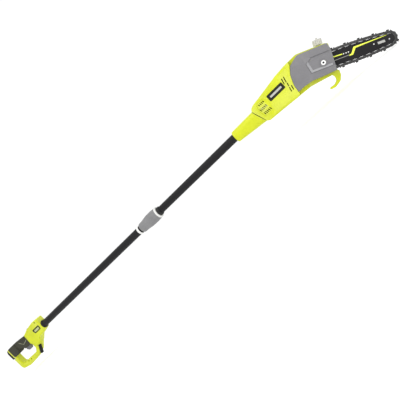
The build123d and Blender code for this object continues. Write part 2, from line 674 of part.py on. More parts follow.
# ---------------------------------------------------------------- chain cover, bolt, hook, oil parts
COVER_RECESS = [(1864, 9, 1), (1886, 12, 1), (1932, -9, 1), (1955, -9, 1), (1940, -60, 1), (1918, -50, 1),
                (1858, -23, 1)]
COVER_GROOVE = [(1884, 14.4, 0.6), (1885.2, 11.6, 0.6), (1934, -10.6, 0.6), (1933, -7.6, 0.6)]
COVER_CAVITY = [(1806, -30, 3), (1810, -10, 20), (1820, 15, 20), (1834, 32, 8), (1860, 41, 12),
                (1909, 19.5, 30), (1960, -4, 1), (1940, -90, 1), (1895, -72, 1), (1874, -47.5, 6),
                (1850, -36, 20)]
COVER_POCKET_Y = -32.5
RECESS_DEPTH = 2.6

with BuildPart() as chain_cover:
    add(slab(COVER, COVER_Y, PAD_Y - 0.3, 0))
    fillet(chain_cover.faces().sort_by(Axis.Y)[0].edges(), radius=1.8)
    add(prism(COVER_CAVITY, COVER_POCKET_Y, 0), mode=Mode.SUBTRACT)
    add(prism(COVER_RECESS, COVER_Y - 5, COVER_Y + RECESS_DEPTH), mode=Mode.SUBTRACT)
    add(prism(COVER_GROOVE, COVER_Y - 5, COVER_Y + 3.4), mode=Mode.SUBTRACT)
    with BuildSketch(bar_plane(BOLT_S, 0, BAR_Y - 2.3)):
        SlotOverall(34, 15)
    extrude(amount=BAR_Y - 2.3 - COVER_POCKET_Y)
    add(y_hole(BOLT_X, BOLT_Z, 10.0, COVER_Y - 0.2, COVER_POCKET_Y))
    add(y_hole(BOLT_X, BOLT_Z, 7.2, COVER_Y - 5, COVER_Y + 1.6), mode=Mode.SUBTRACT)
    add(y_hole(BOLT_X, BOLT_Z, BOLT_BORE), mode=Mode.SUBTRACT)
finish(chain_cover, "chain_cover")

with BuildPart() as cover_bolt:
    add(y_hole(BOLT_X, BOLT_Z, 6.8, COVER_Y - 0.8, COVER_Y + 1.6))
    fillet(cover_bolt.faces().sort_by(Axis.Y)[0].edges(), radius=0.7)
    add(y_hole(BOLT_X, BOLT_Z, BOLT_R, COVER_Y + 1.6, -13.4))
    with BuildSketch(bar_plane(BOLT_S, 0, COVER_Y + 3.2)):
        RegularPolygon(3.4, 6)
    extrude(amount=6, mode=Mode.SUBTRACT)
finish(cover_bolt, "cover_bolt")

HOOK = [(1896, -66, 2), (1921, -71, 3), (1916, -86, 14), (1904, -99, 12), (1882, -104, 10), (1866, -99, 3),
        (1868, -93.5, 2), (1884, -95.5, 8), (1896, -90, 8), (1899, -80, 8)]
HOOK_LOW, HOOK_HIGH = -12.0, 6.0
with BuildPart() as limb_hook:
    add(slab(HOOK, HOOK_LOW, HOOK_HIGH, 1.6))
    add(head_solid(-0.15, 0.0), mode=Mode.SUBTRACT)
    with Locations((HOOK_SLOT[0], HOOK_SLOT[1], -72)):
        Box(12, 10, 18)
    with Locations((HOOK_SLOT[0], HOOK_SLOT[1], -62.5)):
        Box(18, 10, 3)
    for x, z in ((1912.5, -80), (1907.5, -90.5), (1896, -98.2)):
        with Locations(Location((x, 0, z), (0, math.degrees(math.atan2(-z - 84, x - 1892)), 0))):
            Box(1.6, 12, 8, mode=Mode.SUBTRACT)
finish(limb_hook, "limb_hook")

# oil tank behind the front of the housing, with its turned cap on the upper slope
CAP_HIGH = 16.5
with BuildPart() as oil_cap:
    with BuildSketch(cap_plane.offset(0.4)):
        Circle(OIL_CAP_R)
    extrude(amount=CAP_HIGH)
    fillet(oil_cap.faces().sort_by(Axis(cap_plane.origin, cap_plane.z_dir))[-1].edges(), radius=1.5)
    with Locations(cap_plane.offset(0.4)):
        with PolarLocations(OIL_CAP_R + 0.5, 24):
            Cylinder(1.0, 2 * (CAP_HIGH - 3), mode=Mode.SUBTRACT)
    with BuildSketch(cap_plane.offset(CAP_HIGH + 0.3)):
        Circle(3.2)
    extrude(amount=4.5)
    with BuildSketch(cap_plane.offset(-8)):
        Circle(6.2)
    extrude(amount=8.4)
finish(oil_cap, "oil_cap")

TANK = [(1889, -8, 2), (1889, 27, 3), (1905, 26, 8), (1932, 12, 3), (1937, 2, 2), (1932, -8, 3)]
with BuildPart() as oil_tank:
    add(slab(TANK, PAD_Y + 4, HEAD_HALF - 5, 2))
    add(slab(TANK, PAD_Y + 4, HEAD_HALF - 5, 0, 1.8), mode=Mode.SUBTRACT)
    with BuildSketch(cap_plane.offset(-12)):
        Circle(8.2)
    extrude(amount=12.1)
    with BuildSketch(cap_plane.offset(-20)):
        Circle(6.5)
    extrude(amount=40, mode=Mode.SUBTRACT)
finish(oil_tank, "oil_tank")

with BuildPart() as oil_pump:
    with Locations((1893, -1, -22)):
        Box(14, 10, 12)
    fillet(oil_pump.edges().filter_by(Axis.Y), radius=1.5)
finish(oil_pump, "oil_pump")

with BuildPart() as oil_tube:
    with BuildLine() as tube_line:
        FilletPolyline((1900, -1, -22), (1914, -1, -22), (1914, -1, -8), radius=5)
    with BuildSketch(Plane(origin=tube_line.line @ 0, z_dir=tube_line.line % 0)):
        Circle(1.8)
    sweep()
finish(oil_tube, "oil_tube")

# chain tensioner between the bar and the housing: a pin block pulled along by a long screw
TENSION_S, TENSION_N = 44.0, 12.2


def tension_rod(s0, s1, r):
    """Round bar along the bar's axis, level with the tensioner."""
    x, z = bar_point(s0, TENSION_N)
    frame = Plane(origin=(x, PAD_Y - 3.0, z), x_dir=(0, 1, 0), z_dir=(math.cos(BEAM), 0, -math.sin(BEAM)))
    with BuildPart(frame, mode=Mode.PRIVATE) as bar:
        Cylinder(r, s1 - s0, align=(Align.CENTER, Align.CENTER, Align.MIN))
    return bar.part


with BuildPart() as tension_block:
    with BuildSketch(bar_plane(TENSION_S, TENSION_N, PAD_Y - 0.4)):
        Rectangle(11, 5.6)
    extrude(amount=5.4)
    with BuildSketch(bar_plane(TENSION_S, TENSION_N, PAD_Y - 0.4)):
        Circle(2.4)
    extrude(amount=8.6)
    add(tension_rod(TENSION_S - 20, TENSION_S + 20, 1.65), mode=Mode.SUBTRACT)
finish(tension_block, "tension_block")

with BuildPart() as tension_screw:
    add(tension_rod(34, 78, 1.6))
    add(tension_rod(74, 78, 2.7))
finish(tension_screw, "tension_screw")

# ---------------------------------------------------------------- motor and bevel drive
PINION_R = MODULE * PINION_TEETH / 2
GEAR_R = MODULE * GEAR_TEETH / 2
CONE = math.hypot(PINION_R, GEAR_R)          # outer cone distance
CAN_X = (1684.0, 1754.0)
SHAFT_R = 2.5
GEAR_CLEAR = 0.25         # extra room at the root of each tooth


def cone_point(angle, along, out):
    """Radius and height of a point on a pitch cone line, out above it."""
    return (along * math.sin(angle) + out * math.cos(angle), along * math.cos(angle) - out * math.sin(angle))


def bevel(teeth, angle, frame, bore, hub, start):
    """Bevel gear on a frame whose origin is the shared apex and whose Z is the gear's axis."""
    inner = CONE - FACE
    root = -1.25 * MODULE - GEAR_CLEAR
    with BuildPart(mode=Mode.PRIVATE) as gear:
        with BuildSketch(Plane.XZ):
            with BuildLine():
                near = cone_point(angle, inner, root * inner / CONE)
                far = cone_point(angle, CONE, root)
                low = min(near[1], far[1])
                high = max(near[1], far[1])
                Polyline((bore, low), near, far, (far[0], high + hub), (bore, high + hub), close=True)
            make_face()
        revolve(axis=Axis.Z)
        with PolarLocations(0, teeth, start_angle=start):
            add(bevel_tooth(angle, inner, root, teeth))
    return gear.part.moved(frame.location)


def bevel_tooth(angle, inner, root, teeth):
    """One straight tooth that shrinks towards the apex, on the XZ plane."""
    half_root = 0.30 * math.pi * MODULE
    half_tip = 0.11 * math.pi * MODULE
    with BuildPart(mode=Mode.PRIVATE) as tooth:
        for along in (inner, CONE):
            k = along / CONE
            r, h = cone_point(angle, along, 0)
            section = Plane(origin=(r, 0, h), x_dir=(0, 1, 0), z_dir=(math.sin(angle), 0, math.cos(angle)))
            up = 1 if section.y_dir.X * math.cos(angle) >= 0 else -1
            with BuildSketch(section):
                with BuildLine():
                    Polyline((-half_root * k, up * (root - 0.3) * k), (half_root * k, up * (root - 0.3) * k),
                             (half_tip * k, up * 0.95 * MODULE * k), (-half_tip * k, up * 0.95 * MODULE * k),
                             close=True)
                make_face()
        loft()
    return tooth.part


gear_frame = Plane(origin=(SPROCKET_X, 0, 0), x_dir=(-1, 0, 0), z_dir=(0, 1, 0))
pinion_frame = Plane(origin=(SPROCKET_X, 0, 0), x_dir=(0, 1, 0), z_dir=(-1, 0, 0))
gear_angle = math.atan2(GEAR_R, PINION_R)
pinion_angle = math.atan2(PINION_R, GEAR_R)

with BuildPart() as bevel_gear:
    add(bevel(GEAR_TEETH, gear_angle, gear_frame, SPINDLE_R, 3.0, 180 / GEAR_TEETH))
finish(bevel_gear, "bevel_gear")

with BuildPart() as bevel_pinion:
    add(bevel(PINION_TEETH, pinion_angle, pinion_frame, SHAFT_R, 3.0, 0))
finish(bevel_pinion, "bevel_pinion")

with BuildPart() as motor_can:
    add(rod(*CAN_X, CAN_R, CAN_R - 1.2))
    add(rod(CAN_X[0], CAN_X[0] + 1.5, CAN_R, 5.5))
    with Locations(*[(CAN_X[0] + 14, 0, z) for z in (-CAN_R, CAN_R)]):
        Box(8, 12, 6, mode=Mode.SUBTRACT)
finish(motor_can, "motor_can")

with BuildPart() as motor_magnets:
    add(rod(1706, 1748, CAN_R - 1.3, 16.5))
    with Locations((1727, 0, 0)):
        Box(60, 14, 60, mode=Mode.SUBTRACT)
finish(motor_magnets, "motor_magnets")

with BuildPart() as brush_carrier:
    add(rod(1687, 1691, CAN_R - 1.4, 7.2))
    for z in (-10.6, 10.6):
        with Locations((1694.5, 0, z)):
            Box(7, 5, 6.6)
finish(brush_carrier, "brush_carrier")

with BuildPart() as motor_bearings:
    add(rod(CAN_X[0] - 4.0, CAN_X[0] + 2.8, 5.4, SHAFT_R + 0.02))
    add(rod(1808.2, 1814.2, 7.9, SHAFT_R + 0.02))
finish(motor_bearings, "motor_bearings")

with BuildPart() as motor_shaft:
    add(rod(CAN_X[0] - 3, 1838.5, SHAFT_R))
finish(motor_shaft, "motor_shaft")

POLES = 5
with BuildPart() as armature:
    add(rod(1708, 1746, 15.9, SHAFT_R))
    with Locations(Plane(origin=(1727, 0, 0), x_dir=(0, 1, 0), z_dir=(1, 0, 0))):
        with PolarLocations(13.5, POLES):
            Cylinder(4.2, 40, mode=Mode.SUBTRACT)
finish(armature, "armature")

with BuildPart() as commutator:
    add(rod(1691.5, 1702, 7.0, SHAFT_R))
    with Locations(Plane(origin=(1697, 0, 0), x_dir=(0, 1, 0), z_dir=(1, 0, 0))):
        with PolarLocations(7.0, 10):
            Box(1.4, 0.5, 12, mode=Mode.SUBTRACT)
finish(commutator, "commutator")

FAN_BLADES = 9
with BuildPart() as cooling_fan:
    add(rod(1762, 1764, 20.5, SHAFT_R))
    add(rod(1764, 1773, 5.0, SHAFT_R))
    with Locations(Plane(origin=(1768.2, 0, 0), x_dir=(0, 1, 0), z_dir=(1, 0, 0))):
        with PolarLocations(12.5, FAN_BLADES):
            Box(15.5, 1.4, 8.6)
finish(cooling_fan, "cooling_fan")

# ---------------------------------------------------------------- gear case, spindle, drive sprocket
CASE = [(1808, -27, 6), (1872, -27, 12), (1879, -8, 8), (1879, 14, 8), (1868, 27, 10), (1808, 27, 6)]
CASE_BACK, CASE_FRONT = 27.0, -12.8
SPINDLE_BEARING_R = 11.0
with BuildPart() as gear_case:
    add(slab(CASE, CASE_FRONT, CASE_BACK, 0))
    add(slab(CASE, CASE_FRONT + 1, CASE_BACK - 1, 0, 3.2), mode=Mode.SUBTRACT)
    add(rod(1800, 1815, 8.0), mode=Mode.SUBTRACT)
    add(y_hole(SPROCKET_X, 0, SPINDLE_BEARING_R, CASE_FRONT - 1, -8), mode=Mode.SUBTRACT)
    add(y_hole(SPROCKET_X, 0, SPINDLE_BEARING_R, 20, CASE_BACK + 1), mode=Mode.SUBTRACT)
finish(gear_case, "gear_case")

with BuildPart() as spindle_bearings:
    for low, high in ((CASE_FRONT, CASE_FRONT + 5), (22.0, 27.0)):
        with BuildPart(mode=Mode.PRIVATE) as ring:
            add(y_hole(SPROCKET_X, 0, SPINDLE_BEARING_R - 0.02, low, high))
            add(y_hole(SPROCKET_X, 0, SPINDLE_R + 0.03, low - 1, high + 1), mode=Mode.SUBTRACT)
        add(ring.part)
finish(spindle_bearings, "spindle_bearings")

with BuildPart() as sprocket_spindle:
    add(y_hole(SPROCKET_X, 0, SPINDLE_R, BAR_Y - 6, 28))
finish(sprocket_spindle, "sprocket_spindle")

RIM_R = END_R - RAIL_DROP - 0.5
with BuildPart() as drive_sprocket:
    add(y_hole(SPROCKET_X, 0, END_R - TANG - 0.7, BAR_Y - 3.6, BAR_Y + 3.6))
    for low, high in ((BAR_Y - 3.6, BAR_Y - 1.1), (BAR_Y + 1.1, BAR_Y + 3.6)):
        add(y_hole(SPROCKET_X, 0, RIM_R, low, high))
    with BuildSketch(Plane.XZ.offset(-BAR_Y + 4)):
        with Locations((SPROCKET_X, 0)):
            with PolarLocations(RIM_R + 0.4, 6):
                Circle(2.2)
    extrude(amount=-8, mode=Mode.SUBTRACT)
    add(y_hole(SPROCKET_X, 0, SPINDLE_R), mode=Mode.SUBTRACT)
finish(drive_sprocket, "drive_sprocket")


# ---------------------------------------------------------------- bar outline and chain path
def belly_radius(span):
    """Radius of the long bar edge arc that meets both end circles."""
    return (span ** 2 / 4 + BELLY ** 2 - END_R ** 2) / (2 * (BELLY - END_R))


def loop_length(span):
    """Length of the rivet line round two end circles and two long arcs."""
    big = belly_radius(span)
    half = math.asin(span / 2 / (big - END_R))
    return 4 * half * big + 2 * (math.pi - 2 * half) * END_R


span_low, span_high = 200.0, 280.0
for _ in range(50):
    middle = (span_low + span_high) / 2
    if loop_length(middle) < RIVETS * PITCH:
        span_low = middle
    else:
        span_high = middle
SPAN = (span_low + span_high) / 2        # from the drive sprocket to the nose sprocket
BIG_R = belly_radius(SPAN)
HALF_ARC = math.asin(SPAN / 2 / (BIG_R - END_R))


def on_loop(distance):
    """Point (s, n) of the rivet line; it starts at the top of the bar's tail and runs to the nose."""
    side = 2 * HALF_ARC * BIG_R
    end = (math.pi - 2 * HALF_ARC) * END_R
    distance %= 2 * (side + end)
    flip = 1
    if distance >= side + end:
        distance -= side + end
        flip = -1
    if distance < side:
        turn = distance / BIG_R - HALF_ARC
        s = BIG_R * math.sin(turn)
        n = BIG_R * math.cos(turn) - BIG_R + BELLY
    else:
        turn = HALF_ARC + (distance - side) / END_R
        s = SPAN / 2 + END_R * math.sin(turn)
        n = END_R * math.cos(turn)
    return (SPAN / 2 + flip * s, flip * n)


def bar_outline(drop):
    """Closed line drawn in by drop from the rivet line: two long arcs and two end arcs."""
    small = END_R - drop
    big = BIG_R - drop
    shift_s = small * math.sin(HALF_ARC)
    shift_n = small * math.cos(HALF_ARC)
    tail_top, nose_top = (-shift_s, shift_n), (SPAN + shift_s, shift_n)
    ThreePointArc(tail_top, (SPAN / 2, BELLY - drop), nose_top)
    ThreePointArc(nose_top, (SPAN + small, 0), (nose_top[0], -shift_n))
    ThreePointArc((nose_top[0], -shift_n), (SPAN / 2, drop - BELLY), (tail_top[0], -shift_n))
    ThreePointArc((tail_top[0], -shift_n), (-small, 0), tail_top)


BAR_TAIL = 24.0           # the bar starts this far from the sprocket
SLOT = (38.0, 66.0)       # stud slot along the bar axis
GROOVE = 6.0              # rail groove below the bar's edge
PIN_HOLE = (TENSION_S, TENSION_N)


def bar_openings(stud_width):
    """Tail cut, stud slot and tensioning pin hole of one bar layer."""
    with Locations((BAR_TAIL - 50, 0)):
        Rectangle(100, 100, mode=Mode.SUBTRACT)
    with Locations(((SLOT[0] + SLOT[1]) / 2, 0)):
        SlotOverall(SLOT[1] - SLOT[0], stud_width, mode=Mode.SUBTRACT)
    with Locations(PIN_HOLE):
        Circle(2.6, mode=Mode.SUBTRACT)


with BuildPart() as guide_bar_plates:
    for y in (BAR_Y - PLY, BAR_Y + PLY):
        with BuildSketch(bar_plane(0, 0, y)):
            with BuildLine():
                bar_outline(RAIL_DROP)
            make_face()
            bar_openings(8.6)
            with Locations((SPAN, 0)):
                Circle(1.9, mode=Mode.SUBTRACT)
        extrude(amount=PLY / 2, both=True)
finish(guide_bar_plates, "guide_bar_plates")

with BuildPart() as guide_bar_core:
    with BuildSketch(bar_plane(0, 0)):
        with BuildLine():
            bar_outline(RAIL_DROP + GROOVE)
        make_face()
        bar_openings(8.6)
        with Locations((SPAN, 0)):
            Circle(END_R - 3.5, mode=Mode.SUBTRACT)
    extrude(amount=PLY / 2, both=True)
finish(guide_bar_core, "guide_bar_core")

NOSE_TEETH = 6
NOSE_R = END_R - TANG - 0.7
with BuildPart() as nose_sprocket:
    with BuildSketch(bar_plane(SPAN, 0)):
        Circle(NOSE_R)
        with PolarLocations(NOSE_R + 1.2, NOSE_TEETH):
            Circle(3.0, mode=Mode.SUBTRACT)
    extrude(amount=PLY / 2 - 0.1, both=True)
    with BuildSketch(bar_plane(SPAN, 0)):
        Circle(1.85)
    extrude(amount=1.5 * PLY, both=True)
finish(nose_sprocket, "nose_sprocket")

# ---------------------------------------------------------------- saw chain
DRIVE_PLY = 1.2
STRAP_PLY = 1.15
STRAP_Y = 0.7 + STRAP_PLY / 2
rivet_line = [on_loop(i * PITCH) for i in range(RIVETS)]


def link_plane(i, dy):
    """Plane at the middle of link i, its x axis along the chain's travel and its y axis outward."""
    (s0, n0), (s1, n1) = rivet_line[i], rivet_line[(i + 1) % RIVETS]
    (x0, z0), (x1, z1) = bar_point(s0, n0), bar_point(s1, n1)
    middle = ((x0 + x1) / 2, BAR_Y + dy, (z0 + z1) / 2)
    return Plane(origin=middle, x_dir=(x1 - x0, 0, z1 - z0), z_dir=(0, -1, 0))


def link_body():
    """Two rounded eyes joined by a waist."""
    with Locations((-PITCH / 2, 0), (PITCH / 2, 0)):
        Circle(4.2)
    Rectangle(PITCH, 7.4)


def rivet_holes():
    with Locations((-PITCH / 2, 0), (PITCH / 2, 0)):
        Circle(1.95, mode=Mode.SUBTRACT)


pair_links = range(1, RIVETS, 2)
cutter_sides = {i: (-1 if k % 2 else 1) for k, i in enumerate(pair_links[::2])}

with BuildPart() as chain_drive_links:
    with BuildSketch(*[link_plane(i, 0) for i in range(0, RIVETS, 2)]):
        link_body()
        Polygon((-4.2, -2), (4.4, -2), (2.6, -TANG + 0.6), (1.4, -TANG), (-0.9, -TANG), align=None)
        rivet_holes()
    extrude(amount=DRIVE_PLY / 2, both=True)
finish(chain_drive_links, "chain_drive_links")

strap_planes = [link_plane(i, side * STRAP_Y) for i in pair_links for side in (-1, 1)
                if cutter_sides.get(i) != side]
with BuildPart() as chain_tie_straps:
    with BuildSketch(*strap_planes):
        link_body()
        rivet_holes()
    extrude(amount=STRAP_PLY / 2, both=True)
finish(chain_tie_straps, "chain_tie_straps")

CUTTER_TOP = 7.4
with BuildPart() as chain_cutters:
    with BuildSketch(*[link_plane(i, side * STRAP_Y) for i, side in cutter_sides.items()]):
        link_body()
        Polygon((-7.2, 1.5), (-7.6, CUTTER_TOP - 0.5), (-0.6, CUTTER_TOP), (-0.2, 3.4), (2.6, 3.0),
                (3.0, CUTTER_TOP - 1.6), (5.2, CUTTER_TOP - 1.2), (7.0, 1.5), align=None)
        rivet_holes()
    extrude(amount=STRAP_PLY / 2, both=True)
    with BuildSketch(*[link_plane(i, side * 0.75) for i, side in cutter_sides.items()]):
        Polygon((-7.6, CUTTER_TOP - 0.5), (-7.6, CUTTER_TOP - 1.5), (-0.5, CUTTER_TOP - 1.0),
                (-0.6, CUTTER_TOP), align=None)
    extrude(amount=2.6, both=True)
finish(chain_cutters, "chain_cutters")

RIVET_HALF = STRAP_Y + STRAP_PLY / 2 + 0.4
with BuildPart() as chain_rivets:
    with BuildSketch(*[bar_plane(s, n, BAR_Y + RIVET_HALF) for s, n in rivet_line]):
        Circle(1.8)
    extrude(amount=2 * RIVET_HALF)
    chamfer(chain_rivets.edges().filter_by(GeomType.CIRCLE), length=0.3)
finish(chain_rivets, "chain_rivets")
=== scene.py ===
"""Telescoping pole saw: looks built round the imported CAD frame, in metres, in the row frame.

+X runs along the pole from the butt to the saw head, +Z is up, and the chain cover is on the -Y side.
"""
import json
import math

import bmesh
import bpy
from mathutils import Matrix, Vector


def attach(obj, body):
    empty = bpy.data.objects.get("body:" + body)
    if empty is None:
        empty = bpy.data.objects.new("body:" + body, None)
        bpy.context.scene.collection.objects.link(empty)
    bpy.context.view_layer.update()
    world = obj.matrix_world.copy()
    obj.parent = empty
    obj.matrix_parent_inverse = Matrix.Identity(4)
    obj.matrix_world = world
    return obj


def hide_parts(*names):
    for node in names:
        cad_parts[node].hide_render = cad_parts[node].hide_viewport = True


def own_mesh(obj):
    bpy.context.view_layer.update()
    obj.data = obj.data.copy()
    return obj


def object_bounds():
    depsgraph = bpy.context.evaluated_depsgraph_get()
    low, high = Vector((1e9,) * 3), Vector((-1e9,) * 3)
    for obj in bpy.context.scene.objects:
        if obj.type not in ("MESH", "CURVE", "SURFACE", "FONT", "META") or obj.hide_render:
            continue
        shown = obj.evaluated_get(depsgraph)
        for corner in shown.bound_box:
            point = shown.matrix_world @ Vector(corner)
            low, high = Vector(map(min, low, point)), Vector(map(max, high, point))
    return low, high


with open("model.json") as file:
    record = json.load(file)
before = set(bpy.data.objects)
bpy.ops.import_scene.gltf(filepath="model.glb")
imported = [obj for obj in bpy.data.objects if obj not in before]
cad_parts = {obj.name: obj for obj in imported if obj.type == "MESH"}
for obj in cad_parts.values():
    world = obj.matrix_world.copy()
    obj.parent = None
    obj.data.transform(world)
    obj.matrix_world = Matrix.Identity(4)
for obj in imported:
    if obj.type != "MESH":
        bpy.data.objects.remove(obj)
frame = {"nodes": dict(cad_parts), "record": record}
NODES = frame["nodes"]
cad_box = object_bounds()


# ---------------------------------------------------------------- materials
def shader(name, color, rough, metallic=0.0, **sockets):
    """New material with a Principled shader; returns (material, node tree, shader)."""
    mat = bpy.data.materials.new(name)
    mat.use_nodes = True
    tree = mat.node_tree
    bsdf = tree.nodes["Principled BSDF"]
    bsdf.inputs["Base Color"].default_value = (*color, 1)
    bsdf.inputs["Roughness"].default_value = rough
    bsdf.inputs["Metallic"].default_value = metallic
    for key, value in sockets.items():
        bsdf.inputs[key.replace("_", " ")].default_value = value
    return mat, tree, bsdf


def node(tree, kind, values=None, **props):
    """Add a shader node, set its properties and its input values."""
    n = tree.nodes.new(kind)
    for key, value in props.items():
        setattr(n, key, value)
    for key, value in (values or {}).items():
        n.inputs[key].default_value = value
    return n


def object_coords(tree, scale=(1, 1, 1)):
    """Object coordinates, stretched."""
    coord = node(tree, "ShaderNodeTexCoord")
    mapping = node(tree, "ShaderNodeMapping", {"Scale": scale})
    tree.links.new(coord.outputs["Object"], mapping.inputs["Vector"])
    return mapping.outputs["Vector"]


def noise(tree, vector, scale, detail=3.0, rough=0.55):
    n = node(tree, "ShaderNodeTexNoise", {"Scale": scale, "Detail": detail, "Roughness": rough})
    tree.links.new(vector, n.inputs["Vector"])
    return n.outputs["Fac"]


def ramp(tree, fac, stops):
    """Colour ramp with (position, rgb or grey) stops."""
    r = node(tree, "ShaderNodeValToRGB")
    elements = r.color_ramp.elements
    while len(elements) < len(stops):
        elements.new(0.5)
    for element, (position, value) in zip(elements, stops):
        element.position = position
        element.color = (*value, 1) if isinstance(value, tuple) else (value, value, value, 1)
    tree.links.new(fac, r.inputs["Fac"])
    return r.outputs["Color"]


def math_node(tree, op, a, b=None, clamp=False):
    m = node(tree, "ShaderNodeMath", operation=op, use_clamp=clamp)
    for i, v in enumerate((a, b)):
        if v is None:
            continue
        if isinstance(v, (int, float)):
            m.inputs[i].default_value = v
        else:
            tree.links.new(v, m.inputs[i])
    return m.outputs[0]


def mix(tree, fac, a, b, blend="MIX"):
    """Colour mix; a and b are colours or sockets."""
    m = node(tree, "ShaderNodeMix", data_type="RGBA", blend_type=blend)
    for slot_index, v in ((0, fac), (6, a), (7, b)):
        if isinstance(v, (int, float)):
            m.inputs[slot_index].default_value = v
        elif isinstance(v, tuple):
            m.inputs[slot_index].default_value = (*v, 1)
        else:
            tree.links.new(v, m.inputs[slot_index])
    return m.outputs[2]


def bump(tree, bsdf, height, strength, distance):
    b = node(tree, "ShaderNodeBump", {"Strength": strength, "Distance": distance})
    tree.links.new(height, b.inputs["Height"])
    tree.links.new(b.outputs["Normal"], bsdf.inputs["Normal"])


def edge_mask(tree, low=0.52, high=0.62):
    """White along worn convex edges, from the mesh's pointiness."""
    geo = node(tree, "ShaderNodeNewGeometry")
    return ramp(tree, geo.outputs["Pointiness"], [(low, 0.0), (high, 1.0)])


def plastic(name, color, rough=0.42, grain=1800.0, depth=0.00006, wear=0.15, variation=0.06, **sockets):
    """Moulded plastic: spark texture, faint mottling, lighter worn edges."""
    mat, tree, bsdf = shader(name, color, rough, **sockets)
    vector = object_coords(tree)
    fine = noise(tree, vector, grain, 2.0)
    broad = noise(tree, vector, 22.0, 4.0)
    low = tuple(c * (1 - variation) for c in color)
    high = tuple(min(1, c * (1 + variation)) for c in color)
    base = ramp(tree, broad, [(0.35, low), (0.65, high)])
    worn = tuple(min(1, c + (1 - c) * 0.22) for c in color)
    edge = math_node(tree, "MULTIPLY", edge_mask(tree), wear)
    tree.links.new(mix(tree, edge, base, worn), bsdf.inputs["Base Color"])
    tree.links.new(ramp(tree, broad, [(0.3, rough - 0.05), (0.7, rough + 0.07)]), bsdf.inputs["Roughness"])
    bump(tree, bsdf, fine, 0.5, depth)
    return mat


def metal(name, color, rough=0.32, stretch=(1, 1, 1), grain=900.0, depth=0.00003, wear=0.3, metallic=1.0,
          **sockets):
    """Drawn, ground, painted or machined metal with a directional grain and brighter edges."""
    mat, tree, bsdf = shader(name, color, rough, metallic, **sockets)
    vector = object_coords(tree, stretch)
    lines = noise(tree, vector, grain, 3.0)
    broad = noise(tree, object_coords(tree), 30.0, 4.0)
    low = tuple(c * 0.85 for c in color)
    high = tuple(min(1, c * 1.12) for c in color)
    base = ramp(tree, lines, [(0.3, low), (0.7, high)])
    worn = tuple(min(1, c * 1.3 + 0.12) for c in color)
    edge = math_node(tree, "MULTIPLY", edge_mask(tree), wear)
    tree.links.new(mix(tree, edge, base, worn), bsdf.inputs["Base Color"])
    tree.links.new(ramp(tree, broad, [(0.3, rough - 0.06), (0.7, rough + 0.10)]), bsdf.inputs["Roughness"])
    bump(tree, bsdf, lines, 0.35, depth)
    return mat


def rubber(name, color):
    """Soft grip rubber: pebbled and dull."""
    mat, tree, bsdf = shader(name, color, 0.62, Specular_IOR_Level=0.25)
    vector = object_coords(tree)
    cell = node(tree, "ShaderNodeTexVoronoi", {"Scale": 850.0})
    tree.links.new(vector, cell.inputs["Vector"])
    broad = noise(tree, vector, 30.0, 4.0)
    low = tuple(c * 0.8 for c in color)
    high = tuple(c * 1.25 for c in color)
    tree.links.new(ramp(tree, broad, [(0.35, low), (0.65, high)]), bsdf.inputs["Base Color"])
    tree.links.new(ramp(tree, broad, [(0.3, 0.55), (0.7, 0.72)]), bsdf.inputs["Roughness"])
    bump(tree, bsdf, cell.outputs["Distance"], 0.5, 0.00012)
    return mat


LIME = (0.50, 0.545, 0.008)
MATERIALS = {
    "lime_plastic": plastic("lime_plastic", LIME, 0.40, wear=0.25, Specular_IOR_Level=0.3),
    "grip_rubber": rubber("grip_rubber", (0.028, 0.028, 0.018)),
    "trigger_plastic": plastic("trigger_plastic", (0.10, 0.098, 0.115), 0.3),
    "black_plastic": plastic("black_plastic", (0.006, 0.006, 0.006), 0.4, wear=0.1, Specular_IOR_Level=0.2),
    "label_film": plastic("label_film", (0.010, 0.011, 0.006), 0.35, grain=400.0, depth=0.00001, wear=0.0,
                          Specular_IOR_Level=0.2),
    "screw_steel": metal("screw_steel", (0.05, 0.05, 0.052), 0.38),
    "spring_steel": metal("spring_steel", (0.42, 0.42, 0.43), 0.28),
    "cell_wrap": plastic("cell_wrap", (0.01, 0.09, 0.25), 0.25, grain=300.0, depth=0.00001),
    "contact_brass": metal("contact_brass", (0.70, 0.50, 0.20), 0.3),
    "tube_aluminium": metal("tube_aluminium", (0.006, 0.006, 0.007), 0.45, (0.02, 1, 1), metallic=0.0,
                            wear=0.05, Specular_IOR_Level=0.12),
    "collar_plastic": plastic("collar_plastic", (0.165, 0.165, 0.168), 0.45),
    "pale_plastic": plastic("pale_plastic", (0.62, 0.62, 0.60), 0.4),
    "cover_plastic": plastic("cover_plastic", (0.145, 0.142, 0.150), 0.42),
    "bolt_steel": metal("bolt_steel", (0.78, 0.78, 0.76), 0.42, metallic=0.5),
    "cap_clear": plastic("cap_clear", (0.62, 0.61, 0.56), 0.3, Transmission_Weight=0.35, IOR=1.48),
    "tank_plastic": plastic("tank_plastic", (0.60, 0.58, 0.50), 0.4),
    "machined_steel": metal("machined_steel", (0.40, 0.40, 0.41), 0.3),
    "magnet_black": metal("magnet_black", (0.04, 0.04, 0.045), 0.5, metallic=0.6),
    "winding_copper": metal("winding_copper", (0.45, 0.18, 0.07), 0.35),
    "case_aluminium": metal("case_aluminium", (0.45, 0.45, 0.46), 0.45),
    "bar_steel": metal("bar_steel", (0.005, 0.005, 0.006), 0.45, metallic=0.0, wear=0.1,
                       Specular_IOR_Level=0.1),
    "chain_steel": metal("chain_steel", (0.012, 0.012, 0.012), 0.38, metallic=0.15, wear=0.3,
                         Specular_IOR_Level=0.2),
}
NODE_SLOTS = {part["node"]: part["material_slot"] for part in frame["record"]["subparts"]}


def paint(obj, mat):
    """Give an object one material."""
    obj.data.materials.clear()
    obj.data.materials.append(mat)


for name, obj in NODES.items():
    paint(obj, MATERIALS[NODE_SLOTS[name]])


